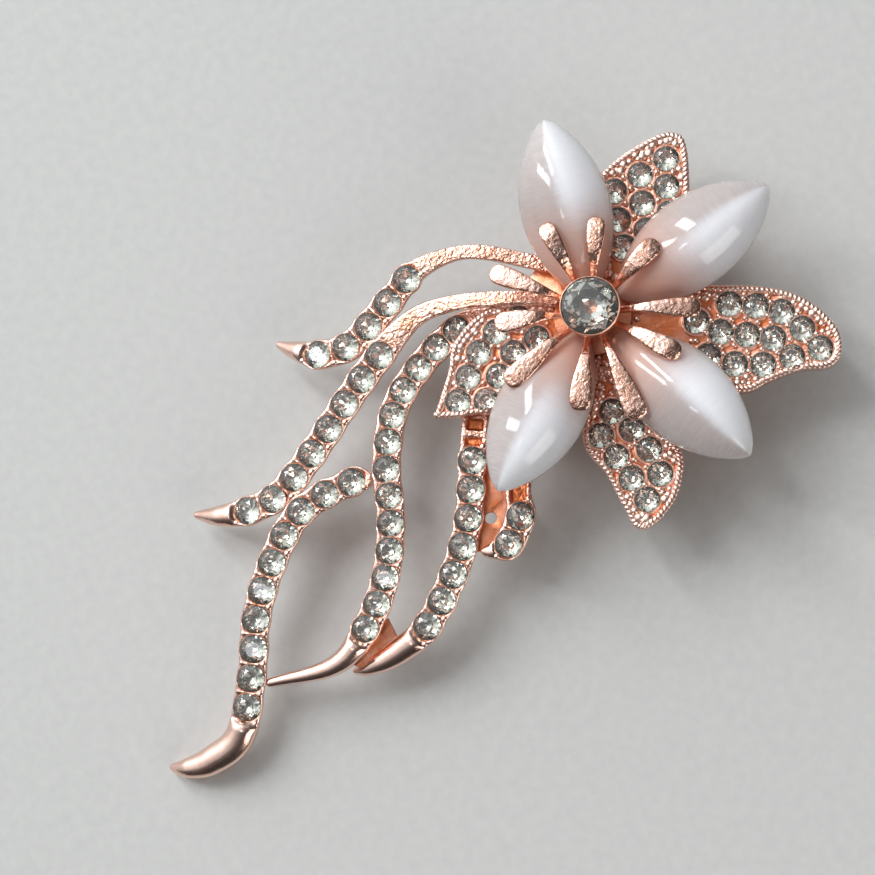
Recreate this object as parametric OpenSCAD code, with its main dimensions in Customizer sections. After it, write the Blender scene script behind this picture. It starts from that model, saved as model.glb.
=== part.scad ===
// Decorative hair pin: a rose-gold spray with a star flower, five stone-set streamers,
// and a hinged steel pin with a turning safety catch on its back.
// The back of the pin faces -Z, the flower faces +Z, and the tails run towards -X.

/* [Flower] */
// Distance from the middle of the whole piece to the flower's centre, along X
flower_x = 16.3; // [10:0.1:20]
// Distance from the middle of the whole piece to the flower's centre, along Y
flower_y = 0.8; // [-2:0.1:2]
// Height of the underside of the hub plate above the surface the pin lies on
hub_z = 5; // [4.5:0.1:6]
// Thickness of the hub plate
hub_thick = 1; // [0.8:0.1:1.2]
// Radius of the hub plate
hub_r = 6.5; // [6:0.1:7]
// Height of the stamen plate's underside
stamen_z = 10.6; // [10.5:0.1:11]

/* [Opal petals] */
// Length of a cat's-eye cabochon
opal_len = 15; // [14.5:0.1:15.2]
// Width of a cat's-eye cabochon
opal_w = 7.4; // [7:0.1:7.6]
// Height of the cabochon's crest above its flat back
opal_h = 3.3; // [2.8:0.1:3.4]
// Upward tilt of each opal petal, in degrees
opal_tilt = 8; // [7:0.5:10]
// Thickness of the metal seat under each cabochon
seat_thick = 0.6; // [0.5:0.1:0.8]

/* [Pave petals] */
// Thickness of a pave petal
pave_thick = 1.5; // [1.4:0.1:1.6]

/* [Streamers] */
// Thickness of a stone-set streamer
streamer_thick = 1.4; // [1.2:0.1:1.5]

/* [Stones] */
// Radius of a small round stone at its girdle
stone_r = 1; // [0.9:0.05:1]
// Radius of the centre stone at its girdle
centre_stone_r = 2.3; // [2.1:0.05:2.3]
// Gap between a stone and the pocket it sits in
stone_gap = 0.02; // [0.01:0.01:0.05]

/* [Pin and catch] */
// Distance from the flower's centre to the pin's line, along X
pin_x = 4; // [3.5:0.1:4.5]
// Height of the pin's centre line
pin_z = 2.1; // [2.1:0.1:2.2]
// Radius of the pin wire
wire_r = 0.45; // [0.4:0.05:0.45]
// Distance from the flower's centre to the hinge rivet, along Y
rivet_y = 10.5; // [10:0.1:11]
// Radius of the hinge rivet
rivet_r = 0.5; // [0.45:0.05:0.5]
// Running clearance between the rivet and the pin's eye
eye_gap = 0.03; // [0.02:0.01:0.05]
// Outer radius of the catch housing
catch_r = 2.2; // [2.1:0.05:2.2]
// Radius of the catch's turning barrel
barrel_r = 1.55; // [1.5:0.05:1.6]
// Running clearance between the barrel and the housing
barrel_gap = 0.05; // [0.03:0.01:0.1]
// Width of the catch housing along the pin
catch_w = 2; // [1.8:0.1:2.2]

/* [Hidden] */
$fn = 48;

rose_gold = [0.86, 0.56, 0.47];
crystal = [0.78, 0.82, 0.78];
opal = [0.9, 0.88, 0.88];
steel = [0.75, 0.75, 0.77];

// Steps of the smooth curve between two points of a route
curve_steps = 5;
// Cut-offs that run clear through a solid
clear = 1;

// Streamer routes from the hub to the tip, seen from the flower's centre.
// Each point is [x, y, height of the middle, width].
streamer_routes = [
    [[0.6, 4.4, 6.5, 1.2], [-1.6, 6.6, 6.5, 1.2], [-4.6, 9.5, 6.6, 1.2], [-7, 10.9, 6.4, 1.2],
     [-10.3, 11.4, 6.1, 1.8], [-13.5, 10.5, 5.6, 2.4], [-18, 9.3, 4.9, 2.4], [-20.8, 10.1, 4.2, 2.3],
     [-22.4, 11.7, 3.4, 1.5], [-23.5, 13.2, 2.8, 0.5]],
    [[-1.6, 2.5, 8.2, 0.9], [-3.5, 4, 8.2, 1], [-6.5, 5.8, 7.8, 1.2], [-9.4, 7.3, 7.2, 1.3],
     [-12.5, 8, 6.5, 1.6], [-16.5, 7, 5.8, 2.4], [-21, 5.2, 5.4, 2.4], [-25.5, 3.2, 5, 2.4],
     [-29.6, 1.8, 4.6, 2.4], [-32.6, 2.1, 3.8, 2.3],
     [-35.1, 3.2, 2.9, 1.7], [-37, 4.6, 2.2, 0.5]],
    [[-5.4, 3.2, 5.2, 2.4], [-8, 5, 5.2, 2.4], [-10, 5.5, 5.2, 2.4], [-14, 4.6, 5.2, 2.4],
     [-17.8, 2.6, 5.2, 2.4], [-20.8, -1, 5.2, 2.4], [-22.7, -4.8, 5.1, 2.4], [-25.5, -8.6, 4.8, 2.4],
     [-29.3, -11.5, 4.3, 2.3], [-33.2, -12.7, 3.8, 1.6], [-38.9, -10.9, 3.3, 0.7]],
    [[-22.5, -1.5, 5.2, 1.6], [-24, -0.7, 5.2, 2.2], [-28.8, -0.5, 5.1, 2.4], [-33.1, -2.8, 4.8, 2.4],
     [-36.6, -5.9, 4.3, 2.4], [-39.4, -9.6, 3.6, 2.4], [-43, -13.3, 2.4, 2.5], [-46.2, -13.8, 1.6, 2.4],
     [-48.5, -13.2, 1, 1.6], [-49.8, -12.3, 0.5, 0.5]],
    [[-5.8, 1, 5.2, 2.2], [-9, 1, 5.2, 2.2], [-11.5, -0.5, 5.2, 2.2], [-14.6, -4.5, 5.2, 2.2],
     [-17.2, -8.2, 5.1, 2.3], [-20.5, -11.4, 4.8, 2.4], [-24.8, -14, 4.2, 2.3], [-28, -14.5, 3.4, 2.1],
     [-30.7, -14.3, 2.8, 1.4], [-32.2, -13.8, 2.4, 0.5]],
    [[-5.8, -2.5, 5.2, 1.8], [-9, -5, 5.2, 1.8], [-12.4, -8.3, 5.2, 2], [-13.6, -10.5, 5.2, 2.4],
     [-15.6, -11.9, 5.1, 2.4], [-17, -11.7, 5, 1.5], [-17.9, -11.2, 5, 0.6]]];

// Stone rows on the streamers: [route point of the first stone, route point of the last, count]
streamer_stone_rows = [[4.3, 7, 5], [5, 9, 8], [2, 8, 13], [1, 5.5, 10], [3, 6, 7], [3, 4, 2]];

// Webs cast between neighbouring streamers: [outline, height of the underside, centre of a hole or none]
cast_webs = [
    [[[-14.2, -4.4], [-12.8, -5.4], [-12.8, -8.4], [-13.8, -10.4], [-15.4, -11.6], [-17.4, -11.4],
      [-18.8, -10.6], [-17.1, -8.4]], 4, [[-15.8, -9.2]]],
    [[[-27.4, -11.6], [-27.6, -13.8], [-29.6, -14.2], [-31.4, -14], [-32.4, -12.8],
      [-30.4, -12.2]], 3.1, []]];

// Pave petal outlines from the hub to the tip, seen from the flower's centre: [one edge, other edge]
pave_outlines = [
    [[[2, 2.5], [4.5, 7.5], [6.8, 9.7], [9.6, 10.2], [12.2, 10.1], [13.3, 9.8], [13.9, 9.3]],
     [[13.9, 9.3], [14.1, 8.7], [13.6, 7.2], [12, 4.4], [10.8, 2.5], [7, 0.7], [3, 0.6]]],
    [[[3.4, -0.4], [7, -1], [9.6, -3], [12.3, -4.8], [14.4, -6.7], [15.7, -9], [16.1, -11.3], [15.7, -12.7]],
     [[15.7, -12.7], [14.9, -13.5], [13.7, -13.6], [11.7, -12.6], [9.3, -12.1], [6.8, -11.6], [3.5, -8],
      [1.2, -3.4]]],
    [[[-1.6, -3], [-4.8, -6.4], [-6.2, -8.8], [-5.9, -11.5], [-6.1, -14.5], [-6.2, -16.3], [-5.7, -16.9]],
     [[-5.7, -16.9], [-5, -17], [-3.7, -16.8], [-2, -16], [-0.4, -14.4], [0.2, -13], [-0.2, -11.3],
      [-0.7, -9], [-0.4, -6], [0.2, -3]]],
    [[[-2, 2.8], [-4.2, 4.4], [-6.4, 5.2], [-8.6, 5.1], [-10.9, 4.2], [-12.3, 2.6], [-14, 1.1], [-15.3, 0]],
     [[-15.3, 0], [-14.2, -0.8], [-12.9, -1.4], [-11, -2.3], [-9, -3], [-5.5, -3], [-3, -1.6]]]];

// Stone rows on the pave petals: [route of the row, count]
pave_stone_rows = [
    [[[[12, 8], [7, 8]], 3],
     [[[10.8, 6], [6, 5.8]], 3],
     [[[9.8, 4], [5.2, 3.6]], 3]],
    [[[[9.9, -5], [13.1, -7.8], [14.1, -12]], 5],
     [[[6.9, -4.8], [8.1, -6.6], [9.7, -7.9], [11.3, -9.2], [11.8, -11.4]], 5],
     [[[6.2, -7.7], [7.6, -9.4], [9.5, -10.7]], 3]],
    [[[[-4.6, -8.6], [-4.2, -15]], 4],
     [[[-2.8, -7.4], [-1.9, -11], [-2.2, -13.8]], 4]],
    [[[[-5.2, 3.2], [-8.6, 3], [-13, 0]], 5],
     [[[-4.8, 1], [-7.4, 0.9], [-11, -1.2]], 4]]];

// Directions of the opal petals, and the distance from the flower's centre to their inner ends
opal_angles = [3, 72, 211, 285];
opal_starts = [2.6, 1.5, 1.6, 2.5];

// Stamens: [direction, distance to the tip, width of the tip, height of the tip]
stamens = [[12, 7.5, 1.7, 12.5], [54, 7.4, 1.5, 12.1], [87, 7.7, 1.5, 12.6], [127, 8.7, 1.7, 11.6],
           [157, 7.8, 1.7, 11.6], [191, 9.1, 1.8, 12], [232, 8.4, 1.8, 11.9], [262, 9.8, 1.9, 11.6],
           [299, 8.2, 1.7, 12.4], [328, 8.8, 1.6, 11.6]];

// Layers of the flower, from the hub plate up
pave_z = hub_z + hub_thick;
boss_r = 3.2;
boss_top = pave_z + 1.8;
seat_z = boss_top + 0.1;
post_r = 1;
stamen_thick = 0.6;
stamen_plate_r = 2.3;
cup_z = stamen_z + stamen_thick;
cup_wall = 0.12;
cup_floor = 0.4;
cup_h = 1.55;
crystal_z = cup_z + 1.4;

// Radius of the two arcs that make an opal petal's pointed outline
lens_r = (pow(opal_len / 2, 2) + pow(opal_w / 2, 2)) / opal_w;
// How much smaller than the cabochon its seat is
seat_inset = 0.3;
seat_foot_r = 0.9;

// Back of the piece
bar_thick = 0.8;
bar_w = 4;
bar_z = hub_z - bar_thick;
bar_top_y = 12;
bar_low_y = -13.2;
ear_in = 0.55;
ear_thick = 0.7;
ear_len = 3.2;
eye_r = 1.15;
eye_w = 0.95;
rivet_head_r = 0.9;
rivet_head_h = 0.3;
catch_y = -13.2;
slot_w = 1.2;
mouth_w = 1.6;
// The pin's wire: how far it reaches past the catch, its stout root, its even stretch and its point
point_past = 1.3;
root_len = 3;
root_r = wire_r + 0.05;
point_len = 2.2;
neck_r = wire_r - 0.05;
needle_r = 0.06;
stem_len = rivet_y - catch_y + point_past;
shank_end = rivet_y - catch_y - catch_w - 0.4;

// Thickness of the webs between streamers, and the radius of the hole in one
web_thick = 0.6;
web_hole_r = 0.5;

// Smooth curve through the points of a route, as a list of points of the same kind
function blend4(a, b, c, d, t) =
    0.5 * (2 * b + (c - a) * t + (2 * a - 5 * b + 4 * c - d) * t * t + (3 * b - a - 3 * c + d) * t * t * t);
function end_before(p) = 2 * p[0] - p[1];
function end_after(p) = 2 * p[len(p) - 1] - p[len(p) - 2];
function curve(p, steps = curve_steps) =
    let (q = concat([end_before(p)], p, [end_after(p)]))
    concat([for (i = [1 : len(p) - 1], k = [0 : steps - 1])
               blend4(q[i - 1], q[i], q[i + 1], q[i + 2], k / steps)],
           [p[len(p) - 1]]);

// Distance run along a list of points, and the place at a given distance
function place_of(p) = len(p) > 2 ? [p[0], p[1], p[2]] : [p[0], p[1], 0];
function run_lengths(p) =
    [for (i = 0, s = 0; i < len(p);
          s = s + (i + 1 < len(p) ? norm(place_of(p[i + 1]) - place_of(p[i])) : 0), i = i + 1) s];
function at_index(p, u) =
    let (i = min(floor(u), len(p) - 2))
    p[i] + (p[i + 1] - p[i]) * (u - i);
function index_at(lengths, s) = lookup(s, [for (i = [0 : len(lengths) - 1]) [lengths[i], i]]);

// Unit vectors of a route at a point number: along it, across it and up from it
function unit(v) = v / norm(v);
function along(p, u) =
    let (ahead = at_index(p, min(u + 0.5, len(p) - 1)), behind = at_index(p, max(u - 0.5, 0)))
    unit(place_of(ahead) - place_of(behind));
function across(t) = unit(cross(t, [0, 0, 1]));

// Eight-sided section of a streamer: flat top for the stones and broken edges.
// A streamer gets thinner where it is narrow.
function section_thick(w, thick) = min(thick, 0.4 + 0.6 * w);
edge_share = 0.22;
function section(w, t) =
    let (c = edge_share * min(w, t), x = w / 2, y = t / 2)
    [[-x, y - c], [c - x, y], [x - c, y], [x, y - c], [x, c - y], [x - c, -y], [c - x, -y], [-x, c - y]];

// Solid that follows a curve of [x, y, height, width] points
module ribbon(p, thick) {
    sides = 8;
    n = len(p);
    rings = [for (i = [0 : n - 1])
                let (t = along(p, i), s = across(t), up = cross(s, t), w = p[i][3])
                for (q = section(w, section_thick(w, thick))) place_of(p[i]) + s * q[0] + up * q[1]];
    walls = [for (i = [0 : n - 2], k = [0 : sides - 1])
                let (a = i * sides + k, b = i * sides + (k + 1) % sides)
                for (f = [[a, b + sides, b], [a, a + sides, b + sides]]) f];
    first = [[for (k = [0 : sides - 1]) k]];
    last = [[for (k = [0 : sides - 1]) n * sides - 1 - k]];
    polyhedron(rings, concat(walls, first, last));
}

// Moves its children to a place with their +Z along a given direction
module stand_at(place, t, up) {
    s = cross(t, up);
    multmatrix([[s[0], t[0], up[0], place[0]], [s[1], t[1], up[1], place[1]], [s[2], t[2], up[2], place[2]]])
        children();
}

// Moves its children to each stone of a streamer, on the middle of its top face
module on_streamer(k) {
    p = curve(streamer_routes[k]);
    row = streamer_stone_rows[k];
    lengths = run_lengths(p);
    first = lookup(row[0] * curve_steps, [for (i = [0 : len(p) - 1]) [i, lengths[i]]]);
    last = lookup(row[1] * curve_steps, [for (i = [0 : len(p) - 1]) [i, lengths[i]]]);
    for (i = [0 : row[2] - 1]) {
        u = index_at(lengths, first + (last - first) * i / (row[2] - 1));
        q = at_index(p, u);
        t = along(p, u);
        up = cross(across(t), t);
        stand_at(place_of(q) + up * section_thick(q[3], streamer_thick) / 2, t, up) children();
    }
}

// Moves its children to each stone of a pave petal, on its top face
module on_petal(k) {
    for (row = pave_stone_rows[k]) {
        p = curve(row[0]);
        lengths = run_lengths(p);
        for (i = [0 : row[1] - 1]) {
            q = at_index(p, index_at(lengths, lengths[len(p) - 1] * i / (row[1] - 1)));
            translate([q[0], q[1], pave_z + pave_thick]) children();
        }
    }
}

// Round stone with a flat table, a girdle at height 0 and a pointed pavilion
module stone(r) {
    table_r = 0.58 * r;
    crown = 0.3 * r;
    girdle = 0.05 * r;
    pavilion = 0.72 * r;
    rotate_extrude($fn = 32)
        polygon([[0, -pavilion], [r, -girdle], [r, 0], [table_r, crown], [0, crown]]);
}

// Seat cut for a stone: a cone below the girdle and a straight wall above it, open at height 0
module pocket(r) {
    seat_r = r + stone_gap;
    wall_low = 0.25 * r;
    depth = 0.78 * r;
    rotate_extrude($fn = 32)
        polygon([[0, -depth], [seat_r, -wall_low], [seat_r, clear], [0, clear]]);
}

// Pointed oval of two arcs, lying along +X from the origin
module pointed_oval(inset, h) {
    shift = lens_r - opal_w / 2;
    translate([opal_len / 2, 0, 0])
        intersection() {
            translate([0, shift, 0]) cylinder(h = h, r = lens_r - inset, $fn = 96);
            translate([0, -shift, 0]) cylinder(h = h, r = lens_r - inset, $fn = 96);
        }
}

// Moves its children to the seat of an opal petal, tilted up and pointing outwards
module at_opal(k) {
    rotate([0, 0, opal_angles[k]])
        translate([opal_starts[k], 0, seat_z])
            rotate([0, -opal_tilt, 0]) children();
}

// Moves its children from the flower's centre to their place in the piece
module in_place() {
    translate([flower_x, flower_y, 0]) children();
}

module hub_plate() {
    color(rose_gold) in_place() {
        translate([0, 0, hub_z]) cylinder(h = hub_thick, r = hub_r);
        translate([0, 0, pave_z]) cylinder(h = boss_top - pave_z, r = boss_r);
        translate([0, 0, boss_top]) cylinder(h = stamen_z - boss_top, r = post_r);
    }
}

module streamer(k) {
    color(rose_gold) in_place()
        difference() {
            ribbon(curve(streamer_routes[k]), streamer_thick);
            on_streamer(k) pocket(stone_r);
        }
}

module streamer_stones(k) {
    color(crystal) in_place() on_streamer(k) stone(stone_r);
}

// Webs that tie neighbouring streamers together from below
module streamer_webs() {
    color(rose_gold) in_place()
        for (web = cast_webs)
            translate([0, 0, web[1]])
                difference() {
                    linear_extrude(web_thick) polygon(web[0]);
                    for (hole = web[2])
                        translate([hole[0], hole[1], -clear])
                            cylinder(h = web_thick + 2 * clear, r = web_hole_r);
                }
}

module petal_outline(k) {
    edges = pave_outlines[k];
    one = curve(edges[0]);
    other = curve(edges[1]);
    polygon(concat(one, [for (i = [1 : len(other) - 1]) other[i]]));
}

module pave_petal(k) {
    color(rose_gold) in_place()
        difference() {
            translate([0, 0, pave_z]) linear_extrude(pave_thick) petal_outline(k);
            translate([0, 0, pave_z - clear]) cylinder(h = pave_thick + 2 * clear, r = boss_r);
            on_petal(k) pocket(stone_r);
        }
}

module pave_stones(k) {
    color(crystal) in_place() on_petal(k) stone(stone_r);
}

module opal_seat(k) {
    color(rose_gold) in_place() {
        at_opal(k) pointed_oval(seat_inset, seat_thick);
        rotate([0, 0, opal_angles[k]])
            translate([opal_starts[k] + seat_foot_r, 0, boss_top])
                cylinder(h = seat_thick, r = seat_foot_r / 2);
    }
}

// Crowned cabochon with a pointed outline and a soft crest along its length
module cabochon() {
    rings = 18;
    arc = 12;
    half = opal_len / 2;
    function half_width(x) = sqrt(lens_r * lens_r - x * x) - (lens_r - opal_w / 2);
    dome_power = 0.8;
    side_power = 1.5;
    function crown(x) = opal_h * pow(half_width(x) / (opal_w / 2), dome_power);
    xs = [for (i = [1 : rings - 1]) -half * cos(180 * i / rings)];
    points = concat(
        [[-half, 0, 0]],
        [for (x = xs, j = [0 : arc])
            let (y = -cos(180 * j / arc))
            [x, y * half_width(x), crown(x) * pow(max(0, 1 - pow(abs(y), side_power)), dome_power)]],
        [[half, 0, 0]]);
    m = arc + 1;
    end = len(points) - 1;
    walls = [for (i = [0 : rings - 3], j = [0 : arc - 1])
                let (a = 1 + i * m + j, b = a + m)
                for (f = [[a, b + 1, b], [a, a + 1, b + 1]]) f];
    base = [for (i = [0 : rings - 3])
               let (a = 1 + i * m, b = a + m)
               for (f = [[a, b + arc, a + arc], [a, b, b + arc]]) f];
    inner = concat([for (j = [0 : arc - 1]) [0, 2 + j, 1 + j]], [[0, 1, m]]);
    outer = concat([for (j = [0 : arc - 1]) [end, end - m + j, end - m + j + 1]], [[end, end - 1, end - m]]);
    translate([half, 0, 0]) polyhedron(points, concat(walls, base, inner, outer));
}

module opal_petal(k) {
    color(opal) in_place() at_opal(k) translate([0, 0, seat_thick]) cabochon();
}

// One stamen: a thin arm that widens to a rounded tip
module stamen(angle, reach, tip_w, tip_z) {
    mid_z = stamen_z + stamen_thick / 2;
    arm_thick = stamen_thick - 0.1;
    route = [[1.9, 0, mid_z, 0.7], [2.6, 0, mid_z, 0.7], [4.4, 0, (mid_z + tip_z) / 2 + 0.4, 0.9],
             [reach - 1.4, 0, tip_z, tip_w], [reach - 0.5, 0, tip_z - 0.1, tip_w * 0.9],
             [reach, 0, tip_z - 0.2, tip_w * 0.4]];
    rotate([0, 0, angle]) ribbon(curve(route, 3), arm_thick);
}

module stamen_spray() {
    color(rose_gold) in_place()
        for (s = stamens) stamen(s[0], s[1], s[2], s[3]);
}

// Round plate that the stamens are brazed into
module stamen_plate() {
    color(rose_gold) in_place() translate([0, 0, stamen_z]) cylinder(h = stamen_thick, r = stamen_plate_r);
}

module centre_cup() {
    cup_r = centre_stone_r + stone_gap + cup_wall;
    color(rose_gold) in_place()
        difference() {
            translate([0, 0, cup_z]) cylinder(h = cup_h, r = cup_r);
            translate([0, 0, cup_z + cup_floor]) cylinder(h = cup_h, r = centre_stone_r + stone_gap);
        }
}

module centre_crystal() {
    depth = crystal_z - cup_z - cup_floor;
    table_r = 0.58 * centre_stone_r;
    crown_h = 0.32 * centre_stone_r;
    color(crystal) in_place() translate([0, 0, crystal_z])
        rotate_extrude()
            polygon([[0, -depth], [0.3, -depth], [centre_stone_r, -0.1], [centre_stone_r, 0],
                     [table_r, crown_h], [0, crown_h]]);
}

module pin_bar() {
    end_r = bar_w / 2;
    color(rose_gold) in_place()
        translate([pin_x, 0, bar_z]) {
            translate([-end_r, bar_low_y, 0]) cube([bar_w, bar_top_y - end_r - bar_low_y, bar_thick]);
            translate([0, bar_top_y - end_r, 0]) cylinder(h = bar_thick, r = end_r);
        }
}

module hinge_bracket() {
    ear_x = [-ear_in - ear_thick, ear_in];
    color(rose_gold) in_place()
        difference() {
            for (x = ear_x)
                translate([pin_x + x, rivet_y - ear_len / 2, 0]) cube([ear_thick, ear_len, bar_z]);
            translate([pin_x, rivet_y, pin_z]) rotate([0, 90, 0])
                cylinder(h = 2 * (ear_in + ear_thick + clear), r = rivet_r, center = true);
        }
}

module hinge_rivet() {
    half = ear_in + ear_thick;
    color(steel) in_place() translate([pin_x, rivet_y, pin_z]) rotate([0, 90, 0]) {
        cylinder(h = 2 * half, r = rivet_r, center = true);
        translate([0, 0, half]) cylinder(h = rivet_head_h, r = rivet_head_r);
        translate([0, 0, -half - rivet_head_h]) cylinder(h = rivet_head_h, r = rivet_head_r);
    }
}

module pin_stem() {
    color(steel) in_place() translate([pin_x, rivet_y, pin_z])
        difference() {
            union() {
                rotate([0, 90, 0]) cylinder(h = eye_w, r = eye_r, center = true);
                rotate([90, 0, 0])
                    rotate_extrude()
                        polygon([[0, 0], [root_r, 0], [wire_r, root_len], [wire_r, shank_end],
                                 [neck_r, stem_len - point_len], [needle_r, stem_len], [0, stem_len]]);
            }
            rotate([0, 90, 0]) cylinder(h = eye_w + clear, r = rivet_r + eye_gap, center = true);
        }
}

module catch_housing() {
    pad_w = 2.6;
    pad_h = 0.9;
    bore_r = barrel_r + barrel_gap;
    color(rose_gold) in_place()
        difference() {
            union() {
                intersection() {
                    translate([pin_x, catch_y, pin_z]) rotate([-90, 0, 0]) cylinder(h = catch_w, r = catch_r);
                    translate([pin_x - catch_r, catch_y - clear, 0])
                        cube([2 * catch_r, catch_w + 2 * clear, bar_z]);
                }
                translate([pin_x - pad_w / 2, catch_y, bar_z - pad_h]) cube([pad_w, catch_w, pad_h]);
            }
            translate([pin_x, catch_y - clear, pin_z]) rotate([-90, 0, 0])
                cylinder(h = catch_w + 2 * clear, r = bore_r);
            translate([pin_x - mouth_w / 2, catch_y - clear, -clear])
                cube([mouth_w, catch_w + 2 * clear, pin_z + clear]);
        }
}

// Barrel that turns in the catch; its lever stands up behind the flower when the catch is open
module catch_rotor() {
    flange = 0.6;
    side_gap = 0.1;
    lever_w = 1;
    lever_reach = 3.2;
    start_y = catch_y - side_gap - flange;
    length = catch_w + flange + side_gap;
    color(rose_gold) in_place()
        difference() {
            translate([pin_x, start_y, pin_z]) {
                rotate([-90, 0, 0]) cylinder(h = length, r = barrel_r);
                translate([-lever_w / 2, 0, 0]) cube([lever_w, flange, lever_reach]);
                translate([0, 0, lever_reach]) rotate([-90, 0, 0]) cylinder(h = flange, r = lever_w / 2);
            }
            translate([pin_x, start_y - clear, pin_z]) rotate([-90, 0, 0])
                cylinder(h = length + 2 * clear, r = slot_w / 2);
            translate([pin_x - slot_w / 2, start_y - clear, pin_z - barrel_r - clear])
                cube([slot_w, length + 2 * clear, barrel_r + clear]);
        }
}

hub_plate();
streamer(0);  // streamer_1
streamer(1);  // streamer_2
streamer(2);  // streamer_3
streamer(3);  // streamer_4
streamer(4);  // streamer_5
streamer(5);  // curl_sprig
streamer_webs();
streamer_stones(0);  // streamer_stones_1
streamer_stones(1);  // streamer_stones_2
streamer_stones(2);  // streamer_stones_3
streamer_stones(3);  // streamer_stones_4
streamer_stones(4);  // streamer_stones_5
streamer_stones(5);  // curl_stones
pave_petal(0);  // pave_petal_1
pave_petal(1);  // pave_petal_2
pave_petal(2);  // pave_petal_3
pave_petal(3);  // pave_petal_4
pave_stones(0);  // pave_stones_1
pave_stones(1);  // pave_stones_2
pave_stones(2);  // pave_stones_3
pave_stones(3);  // pave_stones_4
opal_seat(0);  // opal_seat_1
opal_seat(1);  // opal_seat_2
opal_seat(2);  // opal_seat_3
opal_seat(3);  // opal_seat_4
opal_petal(0);  // opal_petal_1
opal_petal(1);  // opal_petal_2
opal_petal(2);  // opal_petal_3
opal_petal(3);  // opal_petal_4
stamen_plate();
stamen_spray();
centre_cup();
centre_crystal();
pin_bar();
hinge_bracket();
hinge_rivet();
pin_stem();
catch_housing();
catch_rotor();
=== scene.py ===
"""Rose-gold floral hair pin: the finished looks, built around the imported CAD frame.

Shapes are worked out in millimetres from the flower's centre, with +Z out of the flower's face, and each
mesh is moved to its place in metres as it is made.
"""
import math
import random

import bmesh
import bpy
import numpy as np
from mathutils import Matrix, Vector, noise


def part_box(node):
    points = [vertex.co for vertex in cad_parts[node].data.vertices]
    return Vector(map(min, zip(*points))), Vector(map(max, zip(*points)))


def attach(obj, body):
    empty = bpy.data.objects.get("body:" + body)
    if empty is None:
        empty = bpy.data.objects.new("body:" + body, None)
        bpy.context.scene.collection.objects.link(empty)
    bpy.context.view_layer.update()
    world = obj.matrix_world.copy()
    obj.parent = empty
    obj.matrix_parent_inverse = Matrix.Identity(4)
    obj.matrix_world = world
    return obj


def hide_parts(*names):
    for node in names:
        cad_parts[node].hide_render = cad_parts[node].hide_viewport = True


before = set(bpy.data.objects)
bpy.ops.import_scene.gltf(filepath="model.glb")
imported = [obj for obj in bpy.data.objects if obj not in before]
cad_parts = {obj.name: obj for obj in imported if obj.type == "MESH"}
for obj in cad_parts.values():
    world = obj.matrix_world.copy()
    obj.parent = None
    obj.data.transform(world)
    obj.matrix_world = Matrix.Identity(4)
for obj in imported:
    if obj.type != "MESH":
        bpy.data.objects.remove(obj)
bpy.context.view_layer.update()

MM = 0.001
BODY = "spray"

# --- Places taken from the CAD frame, in millimetres ---


def box_mm(node):
    """Lowest and highest corner of a CAD node."""
    low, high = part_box(node)
    return np.array(low) / MM, np.array(high) / MM


crystal_low, crystal_high = box_mm("centre_crystal")
ORIGIN = np.array([(crystal_low[0] + crystal_high[0]) / 2, (crystal_low[1] + crystal_high[1]) / 2, 0.0])
PAVE_LOW = box_mm("pave_petal_1")[0][2]
PAVE_TOP = box_mm("pave_petal_1")[1][2]
STAMEN_Z = box_mm("stamen_plate")[0][2]
CUP_LOW = box_mm("centre_cup")[0][2]
CRYSTAL_TOP = crystal_high[2]

# --- Driving sizes and routes, the same as in the CAD model ---

STREAMER_THICK = 1.4
CENTRE_R = 2.3
OPAL_LEN = 15.0
OPAL_W = 7.4
OPAL_H = 3.3
OPAL_TILT = math.radians(8)
SEAT_Z = PAVE_LOW + 1.9
SEAT_THICK = 0.6
STAMEN_THICK = 0.5

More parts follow.
